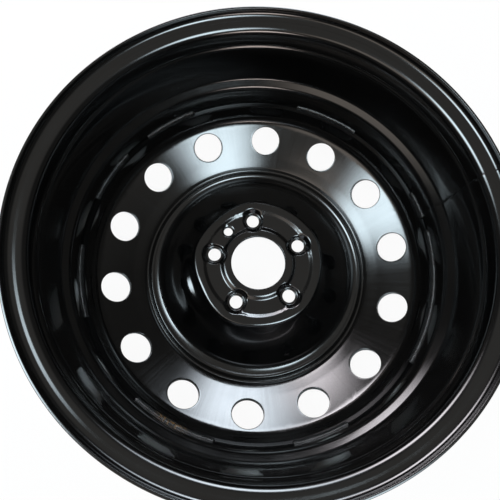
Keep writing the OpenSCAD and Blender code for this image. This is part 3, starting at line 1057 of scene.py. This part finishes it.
def floor_material(looks):
    """A pale floor that keeps the shadow and reads near white in the picture."""
    graph = Graph(bpy.data.materials.new("pale_floor"))
    place = graph.add("ShaderNodeTexCoord").outputs["Object"]
    light = tuple(min(1.0, c * 1.02) for c in looks.floor)
    dark = tuple(c * 0.98 for c in looks.floor)
    colour = graph.mix(graph.noise(place, 1.3), four(dark), four(light))
    lit = graph.add("ShaderNodeBsdfDiffuse", {"Color": colour})
    glow = graph.add("ShaderNodeEmission", {"Color": (1.0, 1.0, 1.0, 1.0), "Strength": 1.0})
    path = graph.add("ShaderNodeLightPath").outputs
    # Reflections show the white only beyond the wheel, not under it
    clear = graph.ramp(graph.reach(place), 0.22, 0.30)
    mirrored = graph.times(path["Is Glossy Ray"], clear)
    seen = graph.plus(path["Is Camera Ray"], mirrored, clamp=True)
    seen = graph.plus(seen, path["Is Transmission Ray"], clamp=True)
    blend = graph.add("ShaderNodeMixShader", {
        0: graph.times(seen, looks.floor_glow), 1: lit.outputs[0], 2: glow.outputs[0]})
    graph.add("ShaderNodeOutputMaterial", {"Surface": blend.outputs[0]})
    graph.owner.cycles.emission_sampling = "NONE"
    return graph.owner


# Stage

def build_floor(looks):
    """A large round floor just under the lip that the wheel lies on."""
    count = 96
    points = [(0.0, 0.0, FLOOR_Z)]
    rings = (0.5, 2.0, 8.0, 40.0)
    turns = [k * math.tau / count for k in range(count)]
    for r in rings:
        points.extend((r * math.cos(a), r * math.sin(a), FLOOR_Z) for a in turns)
    faces = [(0, 1 + k, 1 + (k + 1) % count) for k in range(count)]
    for i in range(len(rings) - 1):
        a, b = 1 + i * count, 1 + (i + 1) * count
        for k in range(count):
            n = (k + 1) % count
            faces.append((a + k, b + k, b + n, a + n))
    mesh = bpy.data.meshes.new("floor")
    mesh.from_pydata(points, [], faces)
    mesh.materials.append(floor_material(looks))
    floor = bpy.data.objects.new("floor", mesh)
    bpy.context.scene.collection.objects.link(floor)


def add_panel_light(name, turn, rise, size, level, colour, soft):
    """A soft panel that looks at the wheel, with light that falls off smoothly towards its edge."""
    distance, aim = 1.5, Vector((0, 0, 0.1))
    lamp = bpy.data.lights.new(name, "AREA")
    lamp.shape = "RECTANGLE"
    lamp.size, lamp.size_y = size
    lamp.color = colour
    lamp.energy = level * math.pi * size[0] * size[1]
    graph = Graph(lamp)
    place = graph.add("ShaderNodeNewGeometry").outputs["Parametric"]
    centred = graph.add("ShaderNodeVectorMath", {0: place, 1: (0.5, 0.5, 0.0)}, operation="SUBTRACT")
    fall = graph.ramp(graph.reach(centred.outputs[0]), 0.5, 0.5 * (1 - soft), smooth=True)
    glow = graph.add("ShaderNodeEmission", {"Strength": fall})
    graph.add("ShaderNodeOutputLight", {"Surface": glow.outputs[0]})
    panel = bpy.data.objects.new(name, lamp)
    a, e = math.radians(turn), math.radians(rise)
    way = Vector((math.cos(a) * math.cos(e), math.sin(a) * math.cos(e), math.sin(e)))
    panel.location = aim + way * distance
    panel.rotation_euler = way.to_track_quat("Z", "Y").to_euler()
    panel.visible_camera = False
    bpy.context.scene.collection.objects.link(panel)


def build_room(looks):
    """Dim, even light from the room, paler overhead."""
    world = bpy.data.worlds.new("room")
    graph = Graph(world)
    coords = graph.add("ShaderNodeTexCoord").outputs["Generated"]
    rise = graph.add("ShaderNodeSeparateXYZ", {"Vector": coords}).outputs["Z"]
    overhead = graph.ramp(rise, 0.55, 0.88, smooth=True)
    colour = graph.mix(overhead, four([c * 0.25 for c in looks.room]), four(looks.room))
    back = graph.add("ShaderNodeBackground", {"Color": colour})
    graph.add("ShaderNodeOutputWorld", {"Surface": back.outputs[0]})
    bpy.context.scene.world = world


def build_camera():
    """The camera stands over the hub side, leaning from the front, close enough to crop the lip."""
    data = bpy.data.cameras.new("camera")
    data.lens = 32.66
    data.sensor_width = 36.0
    data.clip_start, data.clip_end = 0.02, 200.0
    camera = bpy.data.objects.new("camera", data)
    camera.matrix_world = Matrix((
        (0.998943, -0.006029, -0.045555, -0.03503),
        (-0.006029, 0.965593, -0.259988, -0.12743),
        (0.045555, 0.259988, 0.964537, 0.58539),
        (0.0, 0.0, 0.0, 1.0),
    ))
    bpy.context.scene.collection.objects.link(camera)
    bpy.context.scene.camera = camera


# Operators and panel

class WHEEL_OT_rim(Operator):
    """Build the rolled rim"""
    bl_idname = "wheel.rim"
    bl_label = "Rolled rim"

    def execute(self, context):
        settings = context.scene.wheel
        build_rim(settings.rim, rim_paint(settings.looks, settings.rim))
        return {"FINISHED"}


class WHEEL_OT_disc(Operator):
    """Build the pressed disc with its vents, lug holes and hub pad"""
    bl_idname = "wheel.disc"
    bl_label = "Pressed disc"

    def execute(self, context):
        settings = context.scene.wheel
        build_disc(settings.disc, disc_paint(settings.looks, settings.disc))
        return {"FINISHED"}


class WHEEL_OT_welds(Operator):
    """Build the weld beads between the disc and the rim"""
    bl_idname = "wheel.welds"
    bl_label = "Weld beads"

    def execute(self, context):
        settings = context.scene.wheel
        material = weld_paint(settings.looks)
        for number, run in enumerate(WELD_RUNS, 1):
            build_weld(number, run, settings.welds, settings.disc, material)
        return {"FINISHED"}


class WHEEL_OT_stage(Operator):
    """Build the floor, the lamps, the room light and the camera"""
    bl_idname = "wheel.stage"
    bl_label = "Studio"

    def execute(self, context):
        looks = context.scene.wheel.stage
        context.scene.view_settings.view_transform = "Standard"
        build_floor(looks)
        build_room(looks)
        for name, turn, rise, size, level, colour, soft in PANELS:
            add_panel_light(name, turn, rise, size, level * looks.level, colour, soft)
        build_camera()
        return {"FINISHED"}


class WHEEL_PT_panel(Panel):
    bl_label = "Steel wheel"
    bl_idname = "WHEEL_PT_panel"
    bl_space_type = "VIEW_3D"
    bl_region_type = "UI"
    bl_category = "Wheel"

    def draw(self, context):
        settings = context.scene.wheel
        for title, group, operator in (
            ("Rim", settings.rim, "wheel.rim"),
            ("Disc", settings.disc, "wheel.disc"),
            ("Welds", settings.welds, "wheel.welds"),
            ("Paint", settings.looks, None),
            ("Studio", settings.stage, "wheel.stage"),
        ):
            box = self.layout.box()
            box.label(text=title)
            for key in group.__annotations__:
                box.prop(group, key)
            if operator:
                box.operator(operator)


CLASSES = (
    RimSizes, DiscSizes, WeldSizes, PaintLooks, StageLooks, WheelSettings,
    WHEEL_OT_rim, WHEEL_OT_disc, WHEEL_OT_welds, WHEEL_OT_stage, WHEEL_PT_panel,
)


def register():
    for cls in CLASSES:
        bpy.utils.register_class(cls)
    bpy.types.Scene.wheel = PointerProperty(type=WheelSettings)


def unregister():
    del bpy.types.Scene.wheel
    for cls in reversed(CLASSES):
        bpy.utils.unregister_class(cls)


def main():
    register()
    bpy.ops.wheel.rim()
    bpy.ops.wheel.disc()
    bpy.ops.wheel.welds()
    bpy.ops.wheel.stage()


if __name__ == "__main__":
    main()
